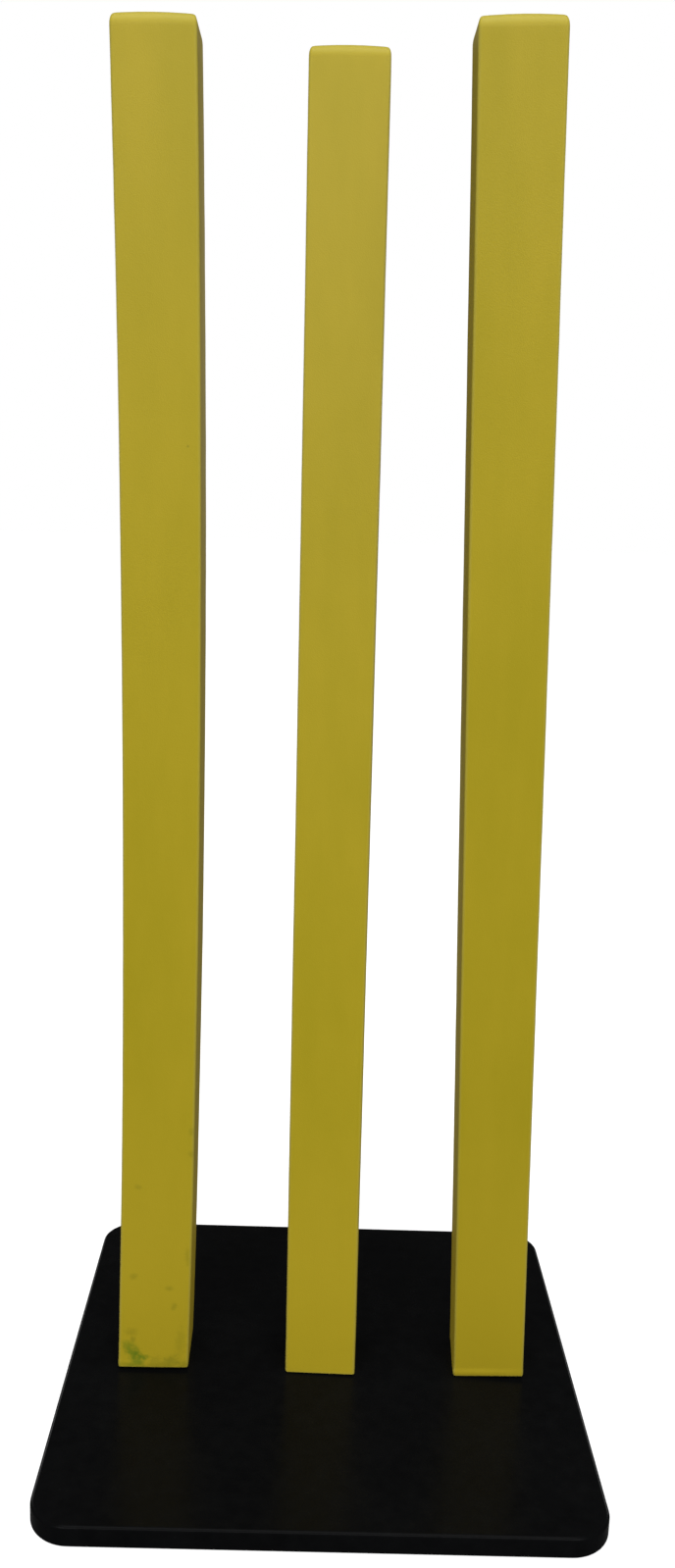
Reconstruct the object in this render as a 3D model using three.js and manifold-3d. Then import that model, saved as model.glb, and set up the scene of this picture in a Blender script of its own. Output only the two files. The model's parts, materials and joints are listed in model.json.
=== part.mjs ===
import * as THREE from 'three';
import { mergeVertices } from 'three/addons/utils/BufferGeometryUtils.js';
import Module from 'manifold-3d';

// Three foam cricket stumps in a row on a rubber base. Each stands on a rubber buffer, so that it tilts fore
// and aft when it is hit and springs back.
// Millimetres. +Z is up, +X runs along the row and +Y points away from the bowler's side.
// The origin is the middle of the base's underside.

// Running and glued clearance between any two pieces that meet
const seat = 0.3;

// Base plate
const baseWidth = 292;
const baseDepth = 292;
const baseThickness = 12;
const baseCornerRadius = 22;
const baseEdgeRadius = 2;

// Foam bars
const stumpHeight = 711;
const stumpWidth = 40;
const stumpSpacing = 97;
const stumpEdgeRadius = 2.5;
const stumpTopFrontRadius = 5.5;
const stumpTopSideRadius = 2;
const stumpTopCrown = 0.8;

// Rubber root under each bar, with a steel plate bonded to each end
const bufferHeight = 16;
const bufferRadius = 10;
const bufferWaist = 1.5;
const bufferClearance = 2;
const plateThickness = 1.5;
const studRadius = 3;
const studLength = 20;
const barrelRadius = 4.6;
const barrelHeight = 5.5;
const barrelRoof = 1;

// Bolt and washer under the base
const boltRadius = 3;
const boltHeadRadius = 5.5;
const boltHeadHeight = 3.2;
const boltHeadRound = 1.2;
const boltHexAcrossFlats = 4;
const boltHexDepth = 1.9;
const boltEngagement = 4.5;
const boltRecess = 0.8;
const washerRadius = 12.5;
const washerThickness = 1.5;
const counterboreClearance = 0.5;

// Core of the bar
const tubeLength = 240;
const tubeRadius = 11;
const tubeWall = 2;
const plugFlange = 2;
const plugLength = 30;
const capThickness = 3;
const capSpigot = 8;
const capRound = 1;

// How each stump stands at rest: its lean and twist in degrees, and its bow as a share of its height
const stumps = [
  {
    name: 'left',
    place: -1,
    leanBack: -2.25,
    leanSide: -0.3,
    twist: 0.8,
    bowSideShare: 0.0057,
    bowBackShare: 0.0029,
  },
  {
    name: 'middle',
    place: 0,
    leanBack: 1.2,
    leanSide: -0.75,
    twist: -2.6,
    bowSideShare: 0.0002,
    bowBackShare: 0.0003,
  },
  {
    name: 'right',
    place: 1,
    leanBack: -4.6,
    leanSide: -2.6,
    twist: -2.1,
    bowSideShare: 0,
    bowBackShare: -0.0027,
  },
];

// Facets
const roundSides = 24;
const cornerSteps = 4;
const sideSteps = 4;
const shaftSteps = 14;
const topSteps = 5;
const crownSteps = 2;
const bufferSteps = 8;
const outlineSteps = 10;
const edgeSteps = 3;

// Places that follow from the sizes above
const bufferHalf = bufferHeight / 2;
const pivotHeight = baseThickness + bufferHalf;
const barrelBore = boltRadius + seat;
const counterboreDepth = boltRecess + boltHeadHeight + washerThickness + 2 * seat;
const rootWellRadius = bufferRadius + bufferClearance;
const coreBoreRadius = tubeRadius + seat;
const tubeBoreRadius = tubeRadius - tubeWall;
const plugFoot = bufferHalf + seat;
const tubeFoot = plugFoot + plugFlange + seat;
const tubeTop = tubeFoot + tubeLength;
const capTop = tubeTop + seat + capThickness;

const foam = new THREE.MeshStandardMaterial({ color: 0xb6a233, roughness: 0.9, metalness: 0 });
const baseRubber = new THREE.MeshStandardMaterial({ color: 0x101112, roughness: 0.55, metalness: 0 });
const bufferRubber = new THREE.MeshStandardMaterial({ color: 0x1c1b1a, roughness: 0.8, metalness: 0 });
const plastic = new THREE.MeshStandardMaterial({ color: 0xd9d7cf, roughness: 0.5, metalness: 0 });
const steel = new THREE.MeshStandardMaterial({ color: 0xa9adb0, roughness: 0.35, metalness: 1 });

const wasm = await Module();
wasm.setup();

// Solids for joins and cuts
function solid(geometry) {
  const bare = geometry.clone();
  bare.deleteAttribute('normal');
  bare.deleteAttribute('uv');
  const merged = mergeVertices(bare);
  return new wasm.Manifold(new wasm.Mesh({
    numProp: 3,
    vertProperties: new Float32Array(merged.attributes.position.array),
    triVerts: new Uint32Array(merged.index.array),
  }));
}

function geometryOf(manifold) {
  const mesh = manifold.getMesh();
  const geometry = new THREE.BufferGeometry();
  geometry.setAttribute('position', new THREE.BufferAttribute(mesh.vertProperties, mesh.numProp));
  geometry.setIndex(new THREE.BufferAttribute(mesh.triVerts, 1));
  geometry.computeVertexNormals();
  return geometry;
}

function cut(geometry, ...tools) {
  return geometryOf(tools.reduce((left, tool) => left.subtract(solid(tool)), solid(geometry)));
}

// A turned shape about +Z. Its profile of [radius, height] points runs anticlockwise from the axis
function turned(profile, sides = roundSides) {
  const geometry = new THREE.LatheGeometry(profile.map(([r, z]) => new THREE.Vector2(r, z)), sides);
  return geometry.rotateX(Math.PI / 2);
}

function rod(radius, low, high) {
  return turned([[0, low], [radius, low], [radius, high], [0, high]]);
}

function pipe(outer, inner, low, high) {
  return cut(rod(outer, low, high), rod(inner, low - seat, high + seat));
}

// A closed skin over rings of points, each ring anticlockwise as seen from the last one
function loft(rings) {
  const count = rings[0].length;
  const points = rings.flat();
  const faces = [];
  rings.slice(1).forEach((ring, k) => {
    for (let i = 0; i < count; i += 1) {
      const next = (i + 1) % count;
      const a = k * count + i;
      const b = k * count + next;
      faces.push(a, b, b + count, a, b + count, a + count);
    }
  });
  const close = (ring, first, turn) => {
    const middle = ring.reduce((sum, p) => sum.add(p), new THREE.Vector3()).divideScalar(count);
    const hub = points.push(middle) - 1;
    for (let i = 0; i < count; i += 1) {
      const pair = [first + i, first + (i + 1) % count];
      faces.push(hub, pair[turn], pair[1 - turn]);
    }
  };
  close(rings[0], 0, 1);
  close(rings[rings.length - 1], (rings.length - 1) * count, 0);
  const geometry = new THREE.BufferGeometry().setFromPoints(points);
  geometry.setIndex(faces);
  geometry.computeVertexNormals();
  return geometry;
}

// Points round a square of the given half width with rounded corners
function roundedSquare(half, radius) {
  const cornerPoint = (corner, share) => {
    const angle = (corner + share) * Math.PI / 2;
    const middle = (corner + 1 / 2) * Math.PI / 2;
    return new THREE.Vector2(
      Math.sign(Math.cos(middle)) * (half - radius) + radius * Math.cos(angle),
      Math.sign(Math.sin(middle)) * (half - radius) + radius * Math.sin(angle),
    );
  };
  const points = [];
  for (let corner = 0; corner < 4; corner += 1) {
    for (let step = 0; step <= cornerSteps; step += 1) {
      points.push(cornerPoint(corner, step / cornerSteps));
    }
    for (let step = 1; step < sideSteps; step += 1) {
      points.push(cornerPoint(corner, 1).lerp(cornerPoint(corner + 1, 0), step / sideSteps));
    }
  }
  return points;
}

function circle(radius) {
  return Array.from({ length: roundSides }, (_, i) => {
    const angle = i * 2 * Math.PI / roundSides;
    return [radius * Math.cos(angle), radius * Math.sin(angle)];
  });
}

const radians = THREE.MathUtils.degToRad;

// A stump's turn from upright: twisted about itself, then leant back and aside
function leanOf({ leanBack, leanSide, twist }) {
  return new THREE.Euler(-radians(leanBack), radians(leanSide), radians(twist), 'YXZ');
}

// How far a bar bows out of straight at a height above the pivot, and how steeply
function bowAt({ bowSideShare, bowBackShare }, height) {
  const share = (height + bufferHalf) / stumpHeight;
  const peak = new THREE.Vector2(bowSideShare, bowBackShare);
  return {
    offset: peak.clone().multiplyScalar(4 * share * (1 - share) * stumpHeight),
    slope: peak.clone().multiplyScalar(4 * (1 - 2 * share)),
  };
}

// The bar's outline at a height, square to its bow, drawn to the given half sizes and arched across
function barRing(stump, height, halfWide = stumpWidth / 2, halfDeep = stumpWidth / 2, arch = 0) {
  const half = stumpWidth / 2;
  const { offset, slope } = bowAt(stump, height);
  return roundedSquare(half, stumpEdgeRadius).map((corner) => {
    const place = new THREE.Vector2(corner.x * halfWide / half, corner.y * halfDeep / half);
    const rise = arch * (1 - (place.x / half) ** 2) - place.dot(slope);
    return new THREE.Vector3(place.x + offset.x, place.y + offset.y, height + rise);
  });
}

// The bar above the pivot, from its square-cut foot to its rounded top, which is arched from side to side
function foamBar(stump) {
  const low = seat;
  const top = stumpHeight - bufferHalf - stumpTopCrown;
  const shoulder = top - stumpTopFrontRadius;
  const rimWide = stumpWidth / 2 - stumpTopSideRadius;
  const rimDeep = stumpWidth / 2 - stumpTopFrontRadius;
  const rings = [];
  for (let step = 0; step <= shaftSteps; step += 1) {
    rings.push(barRing(stump, low + (shoulder - low) * step / shaftSteps));
  }
  for (let step = 1; step <= topSteps; step += 1) {
    const angle = step / topSteps * Math.PI / 2;
    const height = shoulder + stumpTopFrontRadius * Math.sin(angle);
    const wide = rimWide + stumpTopSideRadius * Math.cos(angle);
    const deep = rimDeep + stumpTopFrontRadius * Math.cos(angle);
    rings.push(barRing(stump, height, wide, deep, stumpTopCrown * Math.sin(angle)));
  }
  for (let step = 1; step <= crownSteps; step += 1) {
    const share = 1 - step / (crownSteps + 1);
    rings.push(barRing(stump, top, rimWide * share, rimDeep * share, stumpTopCrown));
  }
  const well = rod(rootWellRadius, -bufferHalf, plugFoot);
  const bore = rod(coreBoreRadius, -bufferHalf, capTop + seat);
  return cut(loft(rings), well, bore);
}

// The bar's heel below the pivot. Its foot is trimmed level fore and aft to the base that it stands on, and
// cut square from side to side, so that one end of it lifts where the bar leans aside
function foamHeel(stump) {
  const turn = new THREE.Quaternion().setFromEuler(leanOf(stump));
  const along = new THREE.Vector3(0, 0, 1).applyQuaternion(turn);
  const slope = Math.sin(radians(stump.leanSide));
  const sole = seat - bufferHalf + Math.abs(slope) * stumpWidth / 2;
  const upper = barRing(stump, 0).map((p) => p.applyQuaternion(turn));
  const lower = barRing(stump, -bufferHalf).map((p) => {
    const height = sole - p.x * slope;
    const placed = p.applyQuaternion(turn);
    return placed.addScaledVector(along, (height - placed.z) / along.z);
  });
  return cut(loft([lower, upper]), rod(rootWellRadius, -bufferHeight, bufferHeight));
}

// The rubber between the two plates, bent by the stump's lean, with the socket's barrel moulded in
function rootBuffer(stump) {
  const turn = new THREE.Quaternion().setFromEuler(leanOf(stump));
  const straight = new THREE.Quaternion();
  const half = bufferHalf - plateThickness - seat;
  const foot = seat - half;
  const rings = [];
  for (let step = 0; step <= bufferSteps; step += 1) {
    const share = step / bufferSteps;
    const bent = straight.clone().slerp(turn, share);
    const radius = bufferRadius - bufferWaist * Math.sin(Math.PI * share);
    const height = foot + (half - foot) * share;
    rings.push(circle(radius).map(([x, y]) => new THREE.Vector3(x, y, height).applyQuaternion(bent)));
  }
  const barrelTop = seat - bufferHalf + plateThickness + barrelHeight;
  return cut(loft(rings), rod(barrelRadius + seat, -bufferHeight, barrelTop + seat));
}

// The plate on the base with its threaded barrel, blind at the top
function bufferSocket() {
  const low = seat - bufferHalf;
  const shoulder = low + plateThickness;
  const top = shoulder + barrelHeight;
  return turned([
    [0, top - barrelRoof],
    [barrelBore, top - barrelRoof],
    [barrelBore, low],
    [bufferRadius, low],
    [bufferRadius, shoulder],
    [barrelRadius, shoulder],
    [barrelRadius, top],
    [0, top],
  ]);
}

// The plate under the plug with its stud
function bufferStud() {
  const low = bufferHalf - plateThickness;
  return turned([
    [0, low],
    [bufferRadius, low],
    [bufferRadius, bufferHalf],
    [studRadius, bufferHalf],
    [studRadius, bufferHalf + studLength],
    [0, bufferHalf + studLength],
  ]);
}

function corePlug() {
  const shoulder = plugFoot + plugFlange;
  const boreTop = bufferHalf + studLength + seat;
  return turned([
    [0, boreTop],
    [studRadius + seat, boreTop],
    [studRadius + seat, plugFoot],
    [tubeRadius, plugFoot],
    [tubeRadius, shoulder],
    [tubeBoreRadius - seat, shoulder],
    [tubeBoreRadius - seat, plugFoot + plugLength],
    [0, plugFoot + plugLength],
  ]);
}

function coreTube() {
  return pipe(tubeRadius, tubeBoreRadius, tubeFoot, tubeTop);
}

function tubeCap() {
  const rim = tubeTop + seat;
  return turned([
    [0, rim - capSpigot],
    [tubeBoreRadius - seat, rim - capSpigot],
    [tubeBoreRadius - seat, rim],
    [tubeRadius, rim],
    [tubeRadius, capTop - capRound],
    [tubeRadius - capRound, capTop],
    [0, capTop],
  ]);
}

// The base plate, counterbored from below where each root is bolted down
function basePlate() {
  const halfWidth = baseWidth / 2 - baseEdgeRadius;
  const halfDepth = baseDepth / 2 - baseEdgeRadius;
  const radius = baseCornerRadius - baseEdgeRadius;
  const outline = new THREE.Shape();
  outline.absarc(halfWidth - radius, halfDepth - radius, radius, 0, Math.PI / 2);
  outline.absarc(radius - halfWidth, halfDepth - radius, radius, Math.PI / 2, Math.PI);
  outline.absarc(radius - halfWidth, radius - halfDepth, radius, Math.PI, 3 * Math.PI / 2);
  outline.absarc(halfWidth - radius, radius - halfDepth, radius, 3 * Math.PI / 2, 2 * Math.PI);
  const slab = new THREE.ExtrudeGeometry(outline, {
    depth: baseThickness - 2 * baseEdgeRadius,
    bevelThickness: baseEdgeRadius,
    bevelSize: baseEdgeRadius,
    bevelSegments: edgeSteps,
    curveSegments: outlineSteps,
  }).translate(0, 0, baseEdgeRadius);
  const holes = stumps.flatMap(({ place }) => [
    rod(washerRadius + counterboreClearance, -seat, counterboreDepth),
    rod(boltRadius + seat, -seat, baseThickness + seat),
  ].map((hole) => hole.translate(place * stumpSpacing, 0, 0)));
  return cut(slab, ...holes);
}

function rootWasher() {
  const top = counterboreDepth - seat;
  return pipe(washerRadius, boltRadius + seat, top - washerThickness, top);
}

// A low-headed screw, with its hexagon socket facing down
function rootBolt() {
  const headTop = boltRecess + boltHeadHeight;
  const tip = baseThickness + seat + plateThickness + boltEngagement;
  const screw = turned([
    [0, boltRecess],
    [boltHeadRadius - boltHeadRound, boltRecess],
    [boltHeadRadius, boltRecess + boltHeadRound],
    [boltHeadRadius, headTop],
    [boltRadius, headTop],
    [boltRadius, tip],
    [0, tip],
  ]);
  const hexRadius = boltHexAcrossFlats / Math.sqrt(3);
  const socket = turned([
    [0, -boltHexDepth],
    [hexRadius, -boltHexDepth],
    [hexRadius, boltHexDepth],
    [0, boltHexDepth],
  ], 6).translate(0, 0, boltRecess);
  return cut(screw, socket);
}

function piece(name, geometry, material) {
  const mesh = new THREE.Mesh(geometry, material);
  mesh.name = name;
  return mesh;
}

const group = new THREE.Group();
group.add(piece('base_plate', basePlate(), baseRubber));

for (const stump of stumps) {
  const x = stump.place * stumpSpacing;

  // What is bolted to the base, in the base's own frame
  const fixing = new THREE.Group();
  fixing.position.set(x, 0, 0);
  fixing.add(piece(`${stump.name}_root_bolt`, rootBolt(), steel));
  fixing.add(piece(`${stump.name}_root_washer`, rootWasher(), steel));

  // What stands level about the pivot
  const root = new THREE.Group();
  root.position.set(x, 0, pivotHeight);
  root.add(piece(`${stump.name}_buffer_socket`, bufferSocket(), steel));
  root.add(piece(`${stump.name}_root_buffer`, rootBuffer(stump), bufferRubber));
  root.add(piece(`${stump.name}_foam_heel`, foamHeel(stump), foam));

  // What leans with the stump about the pivot
  const leaning = new THREE.Group();
  leaning.rotation.copy(leanOf(stump));
  leaning.add(piece(`${stump.name}_buffer_stud`, bufferStud(), steel));
  leaning.add(piece(`${stump.name}_core_plug`, corePlug(), plastic));
  leaning.add(piece(`${stump.name}_core_tube`, coreTube(), plastic));
  leaning.add(piece(`${stump.name}_tube_cap`, tubeCap(), plastic));
  leaning.add(piece(`${stump.name}_foam_bar`, foamBar(stump), foam));
  root.add(leaning);

  group.add(fixing, root);
}

export default group;
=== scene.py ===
"""Three foam cricket stumps on a rubber base, dressed around the fixed frame. Metres, +Z up."""
import json
from math import cos, pi, radians, sin

import bmesh
import bpy
from mathutils import Matrix, Vector, noise


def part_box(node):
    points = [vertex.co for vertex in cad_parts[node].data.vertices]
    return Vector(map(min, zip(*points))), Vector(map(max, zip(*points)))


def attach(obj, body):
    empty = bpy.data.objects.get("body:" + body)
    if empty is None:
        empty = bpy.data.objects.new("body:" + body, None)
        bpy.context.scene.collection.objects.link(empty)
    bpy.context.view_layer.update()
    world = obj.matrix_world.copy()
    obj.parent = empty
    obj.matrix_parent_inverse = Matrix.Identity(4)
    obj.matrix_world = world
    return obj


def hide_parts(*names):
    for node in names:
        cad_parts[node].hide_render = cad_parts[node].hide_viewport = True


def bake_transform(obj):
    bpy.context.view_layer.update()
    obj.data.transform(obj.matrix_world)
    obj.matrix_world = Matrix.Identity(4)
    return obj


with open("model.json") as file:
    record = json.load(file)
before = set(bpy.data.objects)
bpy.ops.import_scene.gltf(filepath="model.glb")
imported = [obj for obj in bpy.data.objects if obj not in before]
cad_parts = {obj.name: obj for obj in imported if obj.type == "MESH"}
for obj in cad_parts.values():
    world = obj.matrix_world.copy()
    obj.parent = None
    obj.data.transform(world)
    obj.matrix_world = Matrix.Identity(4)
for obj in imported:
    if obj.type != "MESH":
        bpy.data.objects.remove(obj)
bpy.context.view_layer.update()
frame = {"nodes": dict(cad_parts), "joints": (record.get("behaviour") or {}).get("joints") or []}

# Base plate: its box comes from the frame, and its roundings are those of the frame's solid
BASE_LOW, BASE_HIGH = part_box("base_plate")
BASE_TOP = BASE_HIGH.z
BASE_CORNER_RADIUS = 0.022
BASE_CORNER_STEPS = 24
BASE_EDGE_RADIUS = 0.002
BASE_EDGE_STEPS = 6

# Holes for the root bolts and their washers, cut from below
WASHER_RADIUS = 0.0125
WASHER_CLEARANCE = 0.0005
BOLT_RADIUS = 0.003
BOLT_CLEARANCE = 0.0003
COUNTERBORE_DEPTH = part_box("left_root_washer")[1].z + BOLT_CLEARANCE

# Foam stumps
SEAT = 0.0003
STUMP_HEIGHT = 0.711
STUMP_WIDTH = 0.040
STUMP_EDGE_RADIUS = 0.0016
STUMP_EDGE_STEPS = 5
FOOT_ROUND = 0.0007
FOOT_ROUND_STEPS = 3
TOP_SIDE_RADIUS = 0.002
TOP_FRONT_RADIUS = 0.0055
TOP_CROWN = 0.0008
TOP_STEPS = 7
CROWN_SHARES = (0.85, 0.65, 0.4, 0.15)
SHOULDER = STUMP_HEIGHT - TOP_CROWN - TOP_FRONT_RADIUS
FRONT_FACE = -STUMP_WIDTH / 2

# Where a stump is sliced, so that it can bend: finer rings near the foot
ACROSS_CUTS = (-0.014, -0.007, 0.0, 0.007, 0.014)
HEEL_PITCH = 0.00125
HEEL_RINGS_TO = 0.032
RING_PITCH = 0.004

# How the foot meets the base: its lowest part is trimmed level and bulges on the side it leans to
HEEL_HEIGHT = 0.020
HEEL_BULGE = 0.0005
HEEL_BULGE_HEIGHT = 0.006
HEEL_BULGE_LEAN = radians(5.0)

# Slight unevenness of cut foam: depth, and waves per metre
SWELL = 0.0002
SWELL_SCALE = 9.0
DENT = 0.00008
DENT_SCALE = 60.0
UNEVEN_STEP = 100

# How each stump stands at rest, as in the frame: degrees, and bows as shares of the height
STANCES = {
    "left": {"back": -2.25, "side": -0.3, "twist": 0.8, "bow_side": 0.0057, "bow_back": 0.0029},
    "middle": {"back": 1.2, "side": -0.75, "twist": -2.6, "bow_side": 0.0002, "bow_back": 0.0003},
    "right": {"back": -4.6, "side": -2.6, "twist": -2.1, "bow_side": 0.0, "bow_back": -0.0027},
}
FOOT_GAPS = {"left": 0.0012, "middle": 0.0, "right": 0.0}
PIVOTS = {joint["child"]: Vector(joint["pos_m"]) for joint in frame["joints"]}

# Rubber root buffers
BUFFER_RADIUS = 0.010
BUFFER_WAIST = 0.0015
BUFFER_STEPS = 10
BUFFER_PLATE_GAP = 0.0003

# Sides of a round shape, and tolerances for picking edges and faces
ROUND_SIDES = 48
SAME_WAY = 0.99
SAME_HEIGHT = 1e-6

# Camera, at the photograph's viewpoint: metres, millimetres and degrees
CAMERA_PLACE = Vector((-0.01746, -0.74789, 0.51440))
CAMERA_LENS = 32.51
CAMERA_SENSOR = 36.0
CAMERA_NEAREST = 0.01
CAMERA_PITCH = 11.96
CAMERA_YAW = 1.12
CAMERA_ROLL = 2.14

# Soft lights: name, place, aim, size and power
LIGHTS = (
    ("key", (0.0, -2.9, 1.75), (0.0, 0.0, 0.5), (3.0, 1.0), 33.0),
    ("overhead", (0.0, -0.7, 2.3), (0.0, 0.0, 0.6), (1.6, 1.6), 21.0),
    ("left_fill", (-1.3, -2.6, 1.3), (0.0, 0.0, 0.5), (1.0, 1.0), 13.0),
    ("right_fill", (1.3, -2.6, 1.3), (0.0, 0.0, 0.5), (1.0, 1.0), 13.0),
    ("left_back", (-1.8, 2.2, 0.9), (0.0, 0.0, 0.4), (1.0, 1.0), 10.0),
    ("right_back", (1.8, 2.2, 0.9), (0.0, 0.0, 0.4), (1.0, 1.0), 10.0),
)

# Room and floor: what lights the object, what its reflections see and what the camera sees
ROOM_LIGHTING = 0.43
ROOM_REFLECTED = 0.07
ROOM_SEEN = 1.0
FLOOR_LIGHTING = 0.25
FLOOR_REFLECTED = 0.12
FLOOR_SEEN = 0.42
FLOOR_LIFT = 0.84
FLOOR_HALF = 12.0

# Foam. Colours are linear, scales are per metre and depths are in metres
FOAM_YELLOW = (0.398, 0.313, 0.0088)
FOAM_OLIVE = (0.380, 0.301, 0.0070)
FOAM_WARM = (0.416, 0.322, 0.0105)
FOAM_CLOUDS = {"coarse": 22.0, "fine": 70.0}
FOAM_ROUGHNESS = 0.44
FOAM_ROUGHNESS_SPREAD = (0.40, 0.52)
FOAM_SPECULAR = 0.24
FOAM_GRAIN = {"scale": 2200.0, "depth": 0.0002, "strength": 0.25}

# The foam's clouds are drawn out along a stump, and each stump takes its own part of them
CLOUD_SHRINK = 0.25
CLOUD_STEP = 5.0

# Painted light: the foam is painted paler near the foot, from none at the upper height to its weight at
# the lower
FOAM_FOOT_PAINTED_LIGHT = (0.458, 0.345, 0.0168)
FOOT_LIGHT_TO = 0.19
FOOT_LIGHT_FROM = 0.05
FOOT_LIGHT_WEIGHT = 0.72

# Foam painted paler on its long edges, its foot's rim and its top, partly for wear and partly as a painted
# highlight where they catch the light
FOAM_WORN_AND_LIT = (0.450, 0.385, 0.066)
EDGE_WEAR_AND_HIGHLIGHT_REACH = 0.0016
FOOT_WEAR_REACH = 0.0011
TOP_WEAR_AND_HIGHLIGHT = 0.48
TOP_WEAR_AND_HIGHLIGHT_REACH = 0.0042

# Marks on the front of the left stump: across, height, half width, half height, angle and weight
GRASS_GREEN = (0.115, 0.195, 0.008)
GRASS_MARKS = (
    (-0.0138, 0.0150, 0.0064, 0.0048, -52, 0.55),
    (-0.0108, 0.0100, 0.0064, 0.0050, -46, 0.85),
    (-0.0066, 0.0076, 0.0060, 0.0026, 0, 0.70),
    (-0.0092, 0.0036, 0.0058, 0.0056, 0, 0.62),
    (-0.0160, 0.0020, 0.0060, 0.0030, 0, 0.25),
)
SOIL_OLIVE = (0.205, 0.193, 0.009)
SOIL_MARKS = (
    (0.0040, 0.0030, 0.0170, 0.0060, 0, 0.40),
    (0.0110, 0.0050, 0.0060, 0.0064, 0, 0.40),
    (0.0175, 0.0030, 0.0050, 0.0050, 0, 0.40),
    (0.0150, 0.0190, 0.0040, 0.0130, 0, 0.25),
    (-0.0120, 0.0204, 0.0023, 0.0030, 0, 0.46),
    (-0.0130, 0.0250, 0.0045, 0.0036, 0, 0.32),
    (0.0108, 0.0425, 0.0021, 0.0036, -20, 0.38),
    (0.0080, 0.0540, 0.0032, 0.0024, 0, 0.38),
    (-0.0122, 0.0606, 0.0030, 0.0025, 0, 0.36),
    (0.0177, 0.0743, 0.0022, 0.0075, 0, 0.30),
    (-0.0104, 0.1168, 0.0030, 0.0022, 0, 0.30),
    (0.0184, 0.1380, 0.0022, 0.0030, 0, 0.30),
    (0.0183, 0.1511, 0.0022, 0.0030, 0, 0.30),
    (0.0137, 0.5186, 0.0009, 0.0009, 0, 0.60),
)

# Finishes of the other parts, in the same units. The clouds run between two colours.
FINISHES = {
    "base_rubber": {
        "colour": (0.0027, 0.0028, 0.0030),
        "between": ((0.0027, 0.0028, 0.0030), (0.0080, 0.0085, 0.0090)),
        "share": 0.25,
        "clouds": {"coarse": 16.0, "fine": 140.0},
        "roughness": 0.22,
        "roughness_spread": (0.17, 0.30),
        "specular": 0.038,
        "metallic": 0.0,
        "grain": {"scale": 1300.0, "depth": 0.0001, "strength": 0.2},
    },
    "buffer_rubber": {
        "colour": (0.012, 0.012, 0.012),
        "between": ((0.012, 0.012, 0.012), (0.025, 0.024, 0.022)),
        "share": 0.3,
        "clouds": {"coarse": 16.0, "fine": 140.0},
        "roughness": 0.7,
        "roughness_spread": (0.65, 0.78),
        "specular": 0.4,
        "metallic": 0.0,
        "grain": {"scale": 1800.0, "depth": 0.0001, "strength": 0.2},
    },
    "core_plastic": {
        "colour": (0.69, 0.68, 0.63),
        "between": ((0.66, 0.65, 0.60), (0.71, 0.70, 0.66)),
        "share": 1.0,
        "clouds": {"coarse": 40.0, "fine": 400.0},
        "roughness": 0.42,
        "roughness_spread": (0.36, 0.48),
        "specular": 0.5,
        "metallic": 0.0,
        "grain": {"scale": 1500.0, "depth": 0.00005, "strength": 0.15},
    },
    "zinc_plate": {
        "colour": (0.53, 0.55, 0.57),
        "between": ((0.47, 0.49, 0.52), (0.60, 0.61, 0.61)),
        "share": 1.0,
        "clouds": {"coarse": 180.0, "fine": 900.0},
        "roughness": 0.34,
        "roughness_spread": (0.28, 0.46),
        "specular": 0.5,
        "metallic": 1.0,
        "grain": {"scale": 2500.0, "depth": 0.00003, "strength": 0.1},
    },
}

# Shared effects
CLOUD_DETAIL = 3.0
CLOUD_RANGE = (0.7, 1.3)
SMUDGE_RAGGED_SCALE = 420.0
SMUDGE_RAGGED_DETAIL = 4.0
SMUDGE_RAGGED_WEIGHT = 1.2
SMUDGE_FADE = (1.7, 0.7)

# Inner pieces of a stump's root that keep the frame's shape
STEEL_NODES = ("root_bolt", "root_washer", "buffer_socket", "buffer_stud")
PLASTIC_NODES = ("core_plug", "core_tube", "tube_cap")


# Nodes of a shader

def join(tree, source, target):
    """Links a socket to an input, or writes a plain value there."""
    if isinstance(source, bpy.types.NodeSocket):
        tree.links.new(source, target)
    else:
        target.default_value = source


def calculate(tree, operation, *values):
    node = tree.nodes.new("ShaderNodeMath")
    node.operation = operation
    for value, socket in zip(values, node.inputs):
        join(tree, value, socket)
    return node.outputs["Value"]


def calculate_vector(tree, operation, *values):
    node = tree.nodes.new("ShaderNodeVectorMath")
    node.operation = operation
    for value, socket in zip(values, node.inputs):
        join(tree, value, socket)
    return node.outputs["Value" if operation == "LENGTH" else "Vector"]


def spread(tree, value, start, end, low=0.0, high=1.0, smooth=False):
    """Maps the range from start to end onto the range from low to high."""
    node = tree.nodes.new("ShaderNodeMapRange")
    if smooth:
        node.interpolation_type = "SMOOTHSTEP"
    join(tree, value, node.inputs["Value"])
    node.inputs["From Min"].default_value = start
    node.inputs["From Max"].default_value = end
    node.inputs["To Min"].default_value = low
    node.inputs["To Max"].default_value = high
    return node.outputs["Result"]


def tint(tree, factor, plain, other):
    """Mixes two colours, each a socket or a plain colour, by a mask."""
    mix = tree.nodes.new("ShaderNodeMix")
    mix.data_type = "RGBA"
    join(tree, factor, mix.inputs["Factor"])
    for colour, name in ((plain, "A"), (other, "B")):
        socket = next(s for s in mix.inputs if s.name == name and s.type == "RGBA")
        join(tree, colour if isinstance(colour, bpy.types.NodeSocket) else (*colour, 1.0), socket)
    return next(s for s in mix.outputs if s.type == "RGBA")


def stored(tree, name, output="Vector"):
    """A value stored on a foam stump's mesh, so that what it paints moves with the foam."""
    node = tree.nodes.new("ShaderNodeAttribute")
    node.attribute_name = name
    return node.outputs[output]


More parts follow.
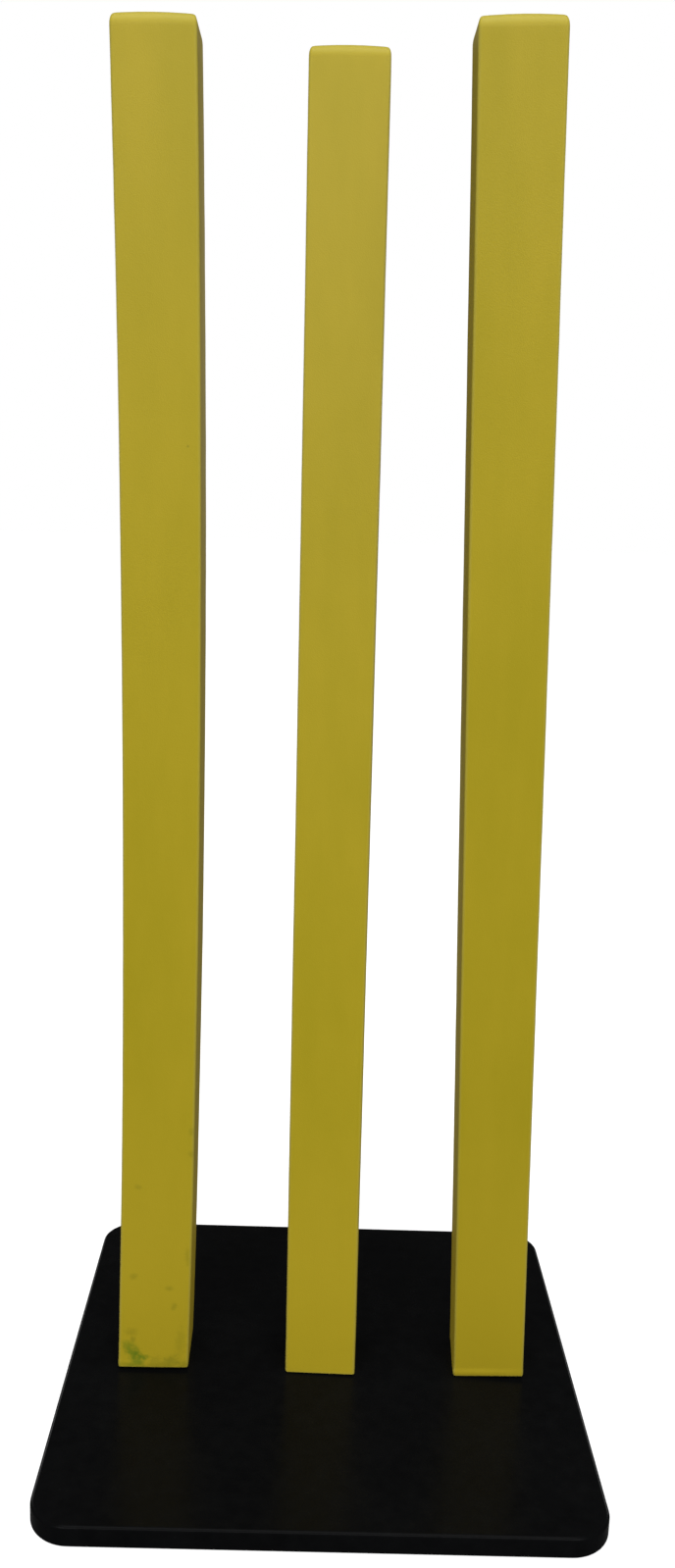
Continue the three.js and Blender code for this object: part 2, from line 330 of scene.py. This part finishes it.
def by_ray(tree, lighting, reflected, seen):
    """One value for the rays that light things, one for reflections and one for what the camera sees."""
    path = tree.nodes.new("ShaderNodeLightPath")
    unseen = tree.nodes.new("ShaderNodeMix")
    join(tree, path.outputs["Is Glossy Ray"], unseen.inputs["Factor"])
    join(tree, lighting, unseen.inputs["A"])
    join(tree, reflected, unseen.inputs["B"])
    looking = calculate(
        tree, "MAXIMUM", path.outputs["Is Camera Ray"], path.outputs["Is Transmission Ray"]
    )
    shown = tree.nodes.new("ShaderNodeMix")
    join(tree, looking, shown.inputs["Factor"])
    join(tree, unseen.outputs["Result"], shown.inputs["A"])
    join(tree, seen, shown.inputs["B"])
    return shown.outputs["Result"]


# Camera, lights and surroundings

def make_camera():
    camera = bpy.data.objects.new("camera", bpy.data.cameras.new("camera"))
    bpy.context.scene.collection.objects.link(camera)
    camera.data.lens = CAMERA_LENS
    camera.data.sensor_width = CAMERA_SENSOR
    camera.data.clip_start = CAMERA_NEAREST
    turn = (
        Matrix.Rotation(-radians(CAMERA_YAW), 4, "Z")
        @ Matrix.Rotation(pi / 2 - radians(CAMERA_PITCH), 4, "X")
        @ Matrix.Rotation(radians(CAMERA_ROLL), 4, "Z")
    )
    camera.matrix_world = Matrix.Translation(CAMERA_PLACE) @ turn
    bpy.context.scene.camera = camera


def soft_light(name, place, aim, size, power):
    lamp = bpy.data.lights.new(name, "AREA")
    lamp.shape = "RECTANGLE"
    lamp.size, lamp.size_y = size
    lamp.energy = power
    light = bpy.data.objects.new(name, lamp)
    bpy.context.scene.collection.objects.link(light)
    direction = Vector(aim) - Vector(place)
    turn = direction.to_track_quat("-Z", "Y").to_matrix().to_4x4()
    light.matrix_world = Matrix.Translation(place) @ turn


def make_world():
    world = bpy.data.worlds.new("studio")
    world.use_nodes = True
    background = world.node_tree.nodes["Background"]
    background.inputs["Color"].default_value = (1.0, 1.0, 1.0, 1.0)
    strength = by_ray(world.node_tree, ROOM_LIGHTING, ROOM_REFLECTED, ROOM_SEEN)
    join(world.node_tree, strength, background.inputs["Strength"])
    world.cycles.sampling_method = "NONE"
    bpy.context.scene.world = world


def make_floor():
    mesh = bpy.data.meshes.new("floor")
    bm = bmesh.new()
    bmesh.ops.create_grid(bm, x_segments=1, y_segments=1, size=FLOOR_HALF)
    bm.to_mesh(mesh)
    bm.free()
    floor = bpy.data.objects.new("floor", mesh)
    bpy.context.scene.collection.objects.link(floor)
    material = bpy.data.materials.new("pale_floor")
    material.use_nodes = True
    tree = material.node_tree
    tree.nodes.clear()
    paint = tree.nodes.new("ShaderNodeBsdfDiffuse")
    colour = by_ray(tree, FLOOR_LIGHTING, FLOOR_REFLECTED, FLOOR_SEEN)
    join(tree, colour, paint.inputs["Color"])
    lift = tree.nodes.new("ShaderNodeEmission")
    join(tree, by_ray(tree, 0.0, 0.0, FLOOR_LIFT), lift.inputs["Strength"])
    both = tree.nodes.new("ShaderNodeAddShader")
    join(tree, paint.outputs["BSDF"], both.inputs[0])
    join(tree, lift.outputs["Emission"], both.inputs[1])
    output = tree.nodes.new("ShaderNodeOutputMaterial")
    join(tree, both.outputs["Shader"], output.inputs["Surface"])
    mesh.materials.append(material)


# Shared effects

def effect_group(name, inputs, outputs):
    """A new shader group with named sockets, and its inner input and output nodes."""
    group = bpy.data.node_groups.new(name, "ShaderNodeTree")
    for socket, kind in inputs.items():
        group.interface.new_socket(socket, in_out="INPUT", socket_type=kind)
    for socket, kind in outputs.items():
        group.interface.new_socket(socket, in_out="OUTPUT", socket_type=kind)
    return group, group.nodes.new("NodeGroupInput"), group.nodes.new("NodeGroupOutput")


def use_effect(tree, group, **values):
    node = tree.nodes.new("ShaderNodeGroup")
    node.node_tree = group
    for name, value in values.items():
        join(tree, value, node.inputs[name.capitalize()])
    return node


def mottle_effect():
    """Soft cloudy variation at two scales, from 0 to 1."""
    group, given, result = effect_group(
        "mottle",
        {"Place": "NodeSocketVector", "Coarse": "NodeSocketFloat", "Fine": "NodeSocketFloat"},
        {"Cloud": "NodeSocketFloat"},
    )
    layers = []
    for scale in ("Coarse", "Fine"):
        cloud = group.nodes.new("ShaderNodeTexNoise")
        cloud.inputs["Detail"].default_value = CLOUD_DETAIL
        join(group, given.outputs["Place"], cloud.inputs["Vector"])
        join(group, given.outputs[scale], cloud.inputs["Scale"])
        layers.append(cloud.outputs["Fac"])
    blend = calculate(group, "ADD", *layers)
    join(group, spread(group, blend, *CLOUD_RANGE), result.inputs["Cloud"])
    return group


def grain_effect():
    """Fine pits and pimples as a bump, for foam skin, moulded rubber and plastic."""
    group, given, result = effect_group(
        "grain",
        {
            "Place": "NodeSocketVector",
            "Scale": "NodeSocketFloat",
            "Depth": "NodeSocketFloat",
            "Strength": "NodeSocketFloat",
        },
        {"Normal": "NodeSocketVector", "Pits": "NodeSocketFloat"},
    )
    cells = group.nodes.new("ShaderNodeTexVoronoi")
    cells.feature = "SMOOTH_F1"
    join(group, given.outputs["Place"], cells.inputs["Vector"])
    join(group, given.outputs["Scale"], cells.inputs["Scale"])
    bump = group.nodes.new("ShaderNodeBump")
    join(group, cells.outputs["Distance"], bump.inputs["Height"])
    join(group, given.outputs["Depth"], bump.inputs["Distance"])
    join(group, given.outputs["Strength"], bump.inputs["Strength"])
    join(group, bump.outputs["Normal"], result.inputs["Normal"])
    join(group, cells.outputs["Distance"], result.inputs["Pits"])
    return group


def smudge_effect():
    """A ragged oval mark round a point, from 0 to 1."""
    group, given, result = effect_group(
        "smudge",
        {
            "Place": "NodeSocketVector",
            "Centre": "NodeSocketVector",
            "Reach": "NodeSocketVector",
            "Angle": "NodeSocketFloat",
        },
        {"Mark": "NodeSocketFloat"},
    )
    ragged = group.nodes.new("ShaderNodeTexNoise")
    ragged.inputs["Scale"].default_value = SMUDGE_RAGGED_SCALE
    ragged.inputs["Detail"].default_value = SMUDGE_RAGGED_DETAIL
    join(group, given.outputs["Place"], ragged.inputs["Vector"])
    away = calculate_vector(group, "SUBTRACT", given.outputs["Place"], given.outputs["Centre"])
    turned = group.nodes.new("ShaderNodeVectorRotate")
    turned.rotation_type = "Y_AXIS"
    join(group, away, turned.inputs["Vector"])
    join(group, given.outputs["Angle"], turned.inputs["Angle"])
    share = calculate_vector(group, "DIVIDE", turned.outputs["Vector"], given.outputs["Reach"])
    distance = calculate_vector(group, "LENGTH", share)
    wander = calculate(
        group, "MULTIPLY_ADD", ragged.outputs["Fac"], SMUDGE_RAGGED_WEIGHT, distance
    )
    join(group, spread(group, wander, *SMUDGE_FADE, smooth=True), result.inputs["Mark"])
    return group


# Materials

def principled(name, colour, roughness, specular, metallic=0.0):
    """A new material, its node tree and its shader."""
    material = bpy.data.materials.new(name)
    material.use_nodes = True
    shader = material.node_tree.nodes["Principled BSDF"]
    shader.inputs["Base Color"].default_value = (*colour, 1.0)
    shader.inputs["Roughness"].default_value = roughness
    shader.inputs["Specular IOR Level"].default_value = specular
    shader.inputs["Metallic"].default_value = metallic
    return material, material.node_tree, shader


def stain(tree, colour, place, marks, mark_colour):
    """Lays a table of marks over a colour."""
    for across, height, half_width, half_height, angle, weight in marks:
        smudge = use_effect(
            tree,
            SMUDGE,
            place=place,
            centre=(across, FRONT_FACE, height),
            reach=(half_width, half_width, half_height),
            angle=radians(angle),
        )
        mask = calculate(tree, "MULTIPLY", smudge.outputs["Mark"], weight)
        colour = tint(tree, mask, colour, mark_colour)
    return colour


def foam_material(name, marked):
    """Matt foam in cloudy yellow, with fine cells, edges and top painted paler for wear and as painted
    highlight, a foot painted paler as painted light and, if marked, stains.
    """
    material, tree, shader = principled(name, FOAM_YELLOW, FOAM_ROUGHNESS, FOAM_SPECULAR)
    place = stored(tree, "stump_place")
    cloud_place = stored(tree, "cloud_place")
    cloud = use_effect(tree, MOTTLE, place=cloud_place, **FOAM_CLOUDS).outputs["Cloud"]
    colour = tint(tree, cloud, FOAM_OLIVE, FOAM_WARM)
    split = tree.nodes.new("ShaderNodeSeparateXYZ")
    join(tree, place, split.inputs["Vector"])
    # Painted light: the foam is painted paler towards the foot, standing in for light there
    painted_foot_light = spread(
        tree, split.outputs["Z"], FOOT_LIGHT_TO, FOOT_LIGHT_FROM, high=FOOT_LIGHT_WEIGHT, smooth=True
    )
    colour = tint(tree, painted_foot_light, colour, FOAM_FOOT_PAINTED_LIGHT)
    # Edges, foot rim and top painted paler: partly wear, partly painted highlight
    colour = tint(tree, stored(tree, "arris", "Fac"), colour, FOAM_WORN_AND_LIT)
    if marked:
        colour = stain(tree, colour, place, SOIL_MARKS, SOIL_OLIVE)
        colour = stain(tree, colour, place, GRASS_MARKS, GRASS_GREEN)
    join(tree, colour, shader.inputs["Base Color"])
    cells = use_effect(tree, GRAIN, place=place, **FOAM_GRAIN)
    roughness = spread(tree, cells.outputs["Pits"], 0.0, 1.0, *FOAM_ROUGHNESS_SPREAD)
    join(tree, roughness, shader.inputs["Roughness"])
    join(tree, cells.outputs["Normal"], shader.inputs["Normal"])
    return material


def plain_material(name):
    """A finish that shifts softly between two colours and two roughnesses, with a fine grain."""
    finish = FINISHES[name]
    material, tree, shader = principled(
        name, finish["colour"], finish["roughness"], finish["specular"], finish["metallic"]
    )
    place = tree.nodes.new("ShaderNodeTexCoord").outputs["Object"]
    cloud = use_effect(tree, MOTTLE, place=place, **finish["clouds"]).outputs["Cloud"]
    share = calculate(tree, "MULTIPLY", cloud, finish["share"])
    join(tree, tint(tree, share, *finish["between"]), shader.inputs["Base Color"])
    roughness = spread(tree, cloud, 0.0, 1.0, *finish["roughness_spread"])
    join(tree, roughness, shader.inputs["Roughness"])
    grain = use_effect(tree, GRAIN, place=place, **finish["grain"])
    join(tree, grain.outputs["Normal"], shader.inputs["Normal"])
    return material


# Shapes

def ease(value):
    clipped = min(max(value, 0.0), 1.0)
    return clipped * clipped * (3 - 2 * clipped)


def edges_along(bm, axis):
    """The edges of a box that run along an axis."""
    return [
        edge
        for edge in bm.edges
        if abs((edge.verts[0].co - edge.verts[1].co).normalized()[axis]) > SAME_WAY
    ]


def faces_at(bm, height):
    return [
        face
        for face in bm.faces
        if all(abs(vert.co.z - height) < SAME_HEIGHT for vert in face.verts)
    ]


def round_edges(bm, edges, radius, steps):
    bmesh.ops.bevel(
        bm,
        geom=edges,
        offset=radius,
        segments=steps,
        profile=0.5,
        affect="EDGES",
        material=-1,
    )


def round_rim(bm, height, radius, steps):
    """Rounds the edges round the flat end at a height."""
    rim = {edge for face in faces_at(bm, height) for edge in face.edges}
    round_edges(bm, list(rim), radius, steps)


def rounded_block(width, depth, low, high, corner, corner_steps):
    """An upright block with its four upright edges rounded."""
    bm = bmesh.new()
    bmesh.ops.create_cube(bm, size=1.0)
    bmesh.ops.scale(bm, vec=(width, depth, high - low), verts=bm.verts)
    bmesh.ops.translate(bm, vec=(0.0, 0.0, (low + high) / 2), verts=bm.verts)
    round_edges(bm, edges_along(bm, 2), corner, corner_steps)
    return bm


def slice_at(bm, place, normal):
    bmesh.ops.bisect_plane(
        bm, geom=bm.verts[:] + bm.edges[:] + bm.faces[:], plane_co=place, plane_no=normal
    )


def draw_out(bm, face, across, along, height):
    """Extrudes a level face, scales the new face about Z and sets it at a height."""
    face = bmesh.ops.extrude_discrete_faces(bm, faces=[face])["faces"][0]
    bmesh.ops.scale(bm, vec=(across, along, 1.0), verts=face.verts)
    bmesh.ops.translate(bm, vec=(0.0, 0.0, height - face.verts[0].co.z), verts=face.verts)
    return face


def lean(stance):
    """The turn from upright to the way a stump leans at rest, without its twist."""
    side = Matrix.Rotation(radians(stance["side"]), 3, "Y")
    back = Matrix.Rotation(-radians(stance["back"]), 3, "X")
    return side @ back


# Pieces

def make_piece(name, bm, material):
    """Makes an object of a finished bmesh, with its faces outward and smooth."""
    bmesh.ops.recalc_face_normals(bm, faces=bm.faces)
    mesh = bpy.data.meshes.new(name)
    bm.to_mesh(mesh)
    bm.free()
    mesh.shade_smooth()
    mesh.materials.append(material)
    piece = bpy.data.objects.new(name, mesh)
    bpy.context.scene.collection.objects.link(piece)
    return piece


def keep_flats_true(piece):
    """Shades the flat faces flat, so that only the rounded edges look round."""
    true_flats = piece.modifiers.new("true_flats", "WEIGHTED_NORMAL")
    true_flats.keep_sharp = True


def close_top(bm):
    """Draws the flat top up and in, for a rounded rim and then the rings of the crown."""
    face = faces_at(bm, SHOULDER)[0]
    half = STUMP_WIDTH / 2
    profile = []
    for step in range(1, TOP_STEPS + 1):
        angle = pi / 2 * step / TOP_STEPS
        across = half - TOP_SIDE_RADIUS * (1 - cos(angle))
        along = half - TOP_FRONT_RADIUS * (1 - cos(angle))
        profile.append((across, along, SHOULDER + TOP_FRONT_RADIUS * sin(angle)))
    across, along, rim = profile[-1]
    profile += [(across * share, along * share, rim) for share in CROWN_SHARES]
    width, depth = half, half
    for across, along, height in profile:
        face = draw_out(bm, face, across / width, along / depth, height)
        width, depth = across, along


def stump_block():
    """An upright stump in its own frame: its foot at 0 and its centre line on Z, with rings to bend at."""
    bm = rounded_block(
        STUMP_WIDTH, STUMP_WIDTH, 0.0, SHOULDER, STUMP_EDGE_RADIUS, STUMP_EDGE_STEPS
    )
    close_top(bm)
    round_rim(bm, 0.0, FOOT_ROUND, FOOT_ROUND_STEPS)
    for cut in ACROSS_CUTS:
        slice_at(bm, (cut, 0.0, 0.0), (1.0, 0.0, 0.0))
        slice_at(bm, (0.0, cut, 0.0), (0.0, 1.0, 0.0))
    height = FOOT_ROUND + HEEL_PITCH
    while height < SHOULDER:
        slice_at(bm, (0.0, 0.0, height), (0.0, 0.0, 1.0))
        height += HEEL_PITCH if height < HEEL_RINGS_TO else RING_PITCH
    bmesh.ops.triangulate(bm, faces=[face for face in bm.faces if len(face.verts) > 4])
    return bm


def wear_and_highlight(place):
    """How much paler the foam is painted, partly for wear and partly as a painted highlight: 1 on a
    stump's long edges and its foot's rim, less on its top, fading to 0 on its faces.
    """
    from_edge = STUMP_WIDTH / 2 - min(abs(place.x), abs(place.y))
    near_edge = 1 - ease(from_edge / EDGE_WEAR_AND_HIGHLIGHT_REACH)
    near_foot = 1 - ease(place.z / FOOT_WEAR_REACH)
    # The top's rim is painted paler, partly as a painted highlight from light above
    near_top = TOP_WEAR_AND_HIGHLIGHT * ease((place.z - SHOULDER) / TOP_WEAR_AND_HIGHLIGHT_REACH)
    return max(near_edge, near_foot, near_top)


def unevenness(place, seed):
    """How far a point of the foam's skin lies out of true."""
    outward = Vector((place.x, place.y, 0.0))
    slow = noise.noise(place * SWELL_SCALE + seed)
    quick = noise.noise(place * DENT_SCALE + seed)
    return outward.normalized() * (SWELL * slow + DENT * quick)


def arch(place):
    """How far the top rises from side to side, growing over its rounded rim."""
    rim = STUMP_HEIGHT - TOP_CROWN
    share = max(0.0, 1 - (rim - place.z) / TOP_FRONT_RADIUS)
    return Vector((0.0, 0.0, TOP_CROWN * share * (1 - (place.x / (STUMP_WIDTH / 2)) ** 2)))


def heel_bulge(place, stance):
    """How far the foam near the foot is pressed out on the side that the stump leans to."""
    squeeze = Vector((sin(radians(stance["side"])), sin(radians(stance["back"])), 0.0))
    outward = Vector((place.x, place.y, 0.0)).normalized()
    pressed = max(0.0, outward.dot(squeeze)) / sin(HEEL_BULGE_LEAN)
    heel = max(0.0, 1 - place.z / HEEL_BULGE_HEIGHT)
    return outward * HEEL_BULGE * pressed * sin(pi * heel)


def bow(place, stance):
    """How far a stump's bow carries a point, level cross-sections turning with the curve."""
    share = place.z / STUMP_HEIGHT
    swing = 4 * share * (1 - share) * STUMP_HEIGHT
    tip = 4 * (1 - 2 * share) * (place.x * stance["bow_side"] + place.y * stance["bow_back"])
    return Vector((stance["bow_side"] * swing, stance["bow_back"] * swing, -tip))


def foam_stump(name, material):
    """A stump as it stands at rest, its foot trimmed to the base."""
    stance = STANCES[name]
    pivot = PIVOTS[f"{name}_stump"]
    turn = lean(stance) @ Matrix.Rotation(radians(stance["twist"]), 3, "Z")
    along = turn @ Vector((0.0, 0.0, 1.0))
    drop = Vector((0.0, 0.0, pivot.z - BASE_TOP))
    slope = sin(radians(stance["side"]))
    sole = BASE_TOP + SEAT + FOOT_GAPS[name] + abs(slope) * STUMP_WIDTH / 2
    seed = Vector((pivot.x * UNEVEN_STEP, 0.0, 0.0))
    bm = stump_block()
    stump_place = bm.verts.layers.float_vector.new("stump_place")
    cloud_place = bm.verts.layers.float_vector.new("cloud_place")
    arris = bm.verts.layers.float.new("arris")
    for vert in bm.verts:
        place = vert.co.copy()
        vert[stump_place] = place
        vert[cloud_place] = (place.x + CLOUD_STEP * pivot.x, place.y, place.z * CLOUD_SHRINK)
        vert[arris] = wear_and_highlight(place)
        shaped = place + arch(place) + unevenness(place, seed)
        shaped += heel_bulge(place, stance) + bow(place, stance) - drop
        foot = pivot + turn @ (shaped - Vector((0.0, 0.0, place.z)))
        to_sole = (sole - place.x * slope - foot.z) / along.z
        trim = along * to_sole * max(0.0, 1 - place.z / HEEL_HEIGHT)
        vert.co = pivot + turn @ shaped + trim
    piece = make_piece(f"{name}_foam", bm, material)
    keep_flats_true(piece)
    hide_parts(f"{name}_foam_bar", f"{name}_foam_heel")
    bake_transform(piece)


def carve(piece, cutters):
    """Cuts a bmesh of closed shapes out of a piece's mesh."""
    tool_mesh = bpy.data.meshes.new("cutters")
    cutters.to_mesh(tool_mesh)
    cutters.free()
    tool = bpy.data.objects.new("cutters", tool_mesh)
    bpy.context.scene.collection.objects.link(tool)
    cut = piece.modifiers.new("cut", "BOOLEAN")
    cut.operation = "DIFFERENCE"
    cut.solver = "EXACT"
    cut.use_self = True
    cut.object = tool
    depsgraph = bpy.context.evaluated_depsgraph_get()
    result = bpy.data.meshes.new_from_object(piece.evaluated_get(depsgraph))
    piece.modifiers.clear()
    piece.data = result
    bpy.data.objects.remove(tool)


def base_plate(material):
    """The moulded slab, with a bore and a counterbore from below at each root."""
    size = BASE_HIGH - BASE_LOW
    bm = rounded_block(
        size.x, size.y, BASE_LOW.z, BASE_HIGH.z, BASE_CORNER_RADIUS, BASE_CORNER_STEPS
    )
    for end in (BASE_HIGH.z, BASE_LOW.z):
        round_rim(bm, end, BASE_EDGE_RADIUS, BASE_EDGE_STEPS)
    piece = make_piece("rubber_base", bm, material)
    cutters = bmesh.new()
    for pivot in PIVOTS.values():
        for radius, top in (
            (WASHER_RADIUS + WASHER_CLEARANCE, COUNTERBORE_DEPTH),
            (BOLT_RADIUS + BOLT_CLEARANCE, 2 * BASE_HIGH.z),
        ):
            made = bmesh.ops.create_cone(
                cutters,
                cap_ends=True,
                segments=ROUND_SIDES,
                radius1=radius,
                radius2=radius,
                depth=2 * top,
            )
            bmesh.ops.translate(cutters, vec=(pivot.x, pivot.y, 0.0), verts=made["verts"])
    carve(piece, cutters)
    keep_flats_true(piece)
    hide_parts("base_plate")
    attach(piece, "base")


def root_buffer(name, material):
    """The waisted rubber between the two plates, bent along its height to the stump's lean at rest."""
    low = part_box(f"{name}_root_buffer")[0].z
    pivot = PIVOTS[f"{name}_stump"]
    foot = low - pivot.z
    top = pivot.z - low - BUFFER_PLATE_GAP
    bm = bmesh.new()
    bmesh.ops.create_circle(bm, cap_ends=True, segments=ROUND_SIDES, radius=BUFFER_RADIUS)
    bmesh.ops.translate(bm, vec=(0.0, 0.0, foot), verts=bm.verts)
    face = bm.faces[:][0]
    width = BUFFER_RADIUS
    for step in range(1, BUFFER_STEPS + 1):
        share = step / BUFFER_STEPS
        radius = BUFFER_RADIUS - BUFFER_WAIST * sin(pi * share)
        face = draw_out(bm, face, radius / width, radius / width, foot + (top - foot) * share)
        width = radius
    bmesh.ops.holes_fill(bm, edges=[edge for edge in bm.edges if edge.is_boundary])
    leaning = lean(STANCES[name])
    for vert in bm.verts:
        share = (vert.co.z - foot) / (top - foot)
        bent = Matrix.Identity(3).lerp(leaning, share)
        vert.co = pivot + bent @ vert.co
    piece = make_piece(f"{name}_buffer", bm, material)
    keep_flats_true(piece)
    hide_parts(f"{name}_root_buffer")
    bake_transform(piece)


def dress(node, material):
    """Gives a node of the frame its finish."""
    piece = frame["nodes"][node]
    piece.data.materials.clear()
    piece.data.materials.append(material)


make_camera()
make_world()
make_floor()
for light in LIGHTS:
    soft_light(*light)
bpy.context.scene.view_settings.view_transform = "Standard"

MOTTLE = mottle_effect()
GRAIN = grain_effect()
SMUDGE = smudge_effect()
plain_foam = foam_material("yellow_foam", marked=False)
stained_foam = foam_material("grass_stained_foam", marked=True)
base_rubber = plain_material("base_rubber")
buffer_rubber = plain_material("buffer_rubber")
plastic = plain_material("core_plastic")
steel = plain_material("zinc_plate")

base_plate(base_rubber)
for stump in STANCES:
    foam_stump(stump, stained_foam if stump == "left" else plain_foam)
    root_buffer(stump, buffer_rubber)
    for fixing in STEEL_NODES:
        dress(f"{stump}_{fixing}", steel)
    for core in PLASTIC_NODES:
        dress(f"{stump}_{core}", plastic)
